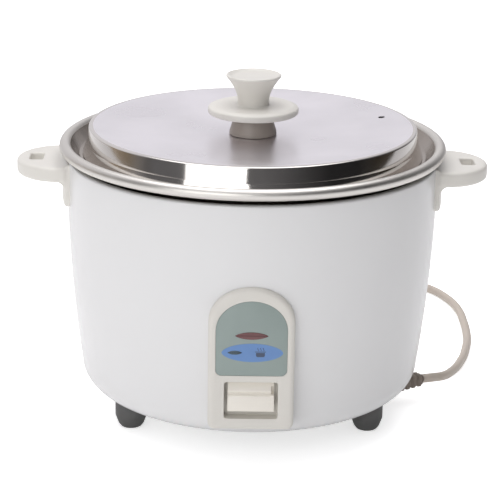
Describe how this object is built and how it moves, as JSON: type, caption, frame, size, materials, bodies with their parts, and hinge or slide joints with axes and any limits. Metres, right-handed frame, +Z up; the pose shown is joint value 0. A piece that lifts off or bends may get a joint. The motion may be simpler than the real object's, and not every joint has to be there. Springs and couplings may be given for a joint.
{
  "type": "rice cooker",
  "caption": "Electric rice cooker: round case, lift-out pan with rolled rim, dished steel lid with knob, slotted side handles, arched switch cover with lever and lamps, mains cord.",
  "frame": {"origin": "on the table plane under the case's axis, at the middle of the footprint without the cord", "axes": "+Z up along the case's axis; -Y is the front, where the switch cover is; +X is the right handle's side"},
  "size_m": [0.3655, 0.4685, 0.2628],
  "materials": {
    "case_enamel": "gloss white baked enamel on pressed steel",
    "shield_steel": "dull zinc-coated sheet",
    "heater_band_foil": "foil-faced heating band",
    "base_steel": "zinc-coated sheet, pressed",
    "foot_plastic": "moulded dark grey plastic",
    "zinc_screw": "bright zinc-plated screw",
    "ivory_plastic": "moulded phenolic-look ivory plastic, satin gloss",
    "pan_aluminium": "satin spun aluminium",
    "lid_steel": "mirror-polished stainless steel",
    "seat_plastic": "moulded grey-ivory plastic",
    "cover_plastic": "moulded ivory plastic, satin gloss",
    "label_film": "printed grey-green film",
    "red_lens": "smoked red lens",
    "dark_lens": "smoked blue-grey lens",
    "lamp_glass": "neon lamp glass",
    "lamp_holder_plastic": "heat-proof white plastic",
    "lever_plastic": "moulded cream plastic, satin gloss",
    "plated_steel": "yellow-passivated steel strip",
    "spring_steel": "drawn spring wire",
    "switch_black": "moulded black plastic",
    "button_red": "moulded red plastic",
    "cast_aluminium": "cast and turned aluminium",
    "ferrite": "sintered ferrite",
    "terminal_ceramic": "glazed ceramic",
    "wire_brown": "brown silicone sleeve",
    "wire_blue": "blue silicone sleeve",
    "gland_rubber": "moulded grey-brown rubber",
    "cord_pvc": "warm grey PVC sheath, semi-matt",
    "plug_plastic": "moulded warm grey PVC",
    "plug_brass": "nickel-tinted brass pin"
  },
  "bodies": {
    "cooker": {"outer_case": "case_enamel", "inner_shield": "shield_steel", "keep_warm_heater": "heater_band_foil", "base_plate": "base_steel", "foot_rear": "foot_plastic", "foot_front_left": "foot_plastic", "foot_front_right": "foot_plastic", "foot_screw_rear": "zinc_screw", "foot_screw_front_left": "zinc_screw", "foot_screw_front_right": "zinc_screw", "handle_screw_right": "zinc_screw", "handle_screw_left": "zinc_screw", "heater_screw_1": "zinc_screw", "heater_screw_2": "zinc_screw", "heater_screw_3": "zinc_screw", "handle_right": "ivory_plastic", "handle_left": "ivory_plastic", "switch_cover": "cover_plastic", "label_plate": "label_film", "keep_warm_lens": "red_lens", "cook_lens": "dark_lens", "keep_warm_lamp": "lamp_glass", "cook_lamp": "lamp_glass", "lamp_holder": "lamp_holder_plastic", "pivot_pin": "plated_steel", "switch_bracket": "plated_steel", "sensor_bracket": "plated_steel", "heater_terminal_1": "plated_steel", "heater_terminal_2": "plated_steel", "lever_spring": "spring_steel", "sensor_spring": "spring_steel", "micro_switch": "switch_black", "heater_plate": "cast_aluminium", "thermal_fuse": "cast_aluminium", "sensor_sleeve": "plated_steel", "terminal_block": "terminal_ceramic", "wire_live": "wire_brown", "wire_neutral": "wire_blue", "cord_gland": "gland_rubber", "power_cord": "cord_pvc", "power_cord_coil": "cord_pvc", "power_cord_tail": "cord_pvc", "plug_body": "plug_plastic", "plug_pin_live": "plug_brass", "plug_pin_neutral": "plug_brass", "plug_pin_earth": "plug_brass"},
    "pan": {"inner_pan": "pan_aluminium"},
    "lid": {"lid": "lid_steel", "lid_knob": "ivory_plastic", "knob_seat": "seat_plastic", "knob_washer": "zinc_screw", "knob_screw": "zinc_screw"},
    "lever": {"cook_lever": "lever_plastic", "switch_arm": "plated_steel"},
    "latch_magnet": {"magnet": "ferrite", "magnet_stem": "plated_steel"},
    "sensor": {"sensor_cap": "cast_aluminium", "ferrite_disc": "ferrite"},
    "button": {"switch_button": "button_red"}
  },
  "joints": [
    {"name": "pan_lift", "type": "slide", "parent": "cooker", "child": "pan", "axis": [0, 0, 1], "range_m": [0, 0.18]},
    {"name": "lid_lift", "type": "slide", "parent": "pan", "child": "lid", "axis": [0, 0, 1], "range_m": [0, 0.12]},
    {"name": "lever_press", "type": "hinge", "parent": "cooker", "child": "lever", "pos_m": [0, -0.062, 0.031], "axis": [1, 0, 0], "range_deg": [0, 3.3], "stiffness_Nm_per_rad": 0.15, "springref_deg": -20.05},
    {"name": "magnet_lift", "type": "slide", "parent": "cooker", "child": "latch_magnet", "axis": [0, 0, 1], "range_m": [0, 0.0036]},
    {"name": "sensor_press", "type": "slide", "parent": "cooker", "child": "sensor", "axis": [0, 0, 1], "range_m": [-0.003, 0], "stiffness_N_per_m": 350, "springref_m": 0.006, "deforming": ["sensor_spring"]},
    {"name": "button_press", "type": "slide", "parent": "cooker", "child": "button", "axis": [0, 0, 1], "range_m": [-0.0017, 0], "deforming": ["lever_spring"]}
  ],
  "couplings": [
    {"joint": "magnet_lift", "follows": "lever_press", "m_per_rad": 0.062},
    {"joint": "button_press", "follows": "lever_press", "m_per_rad": -0.029}
  ]
}
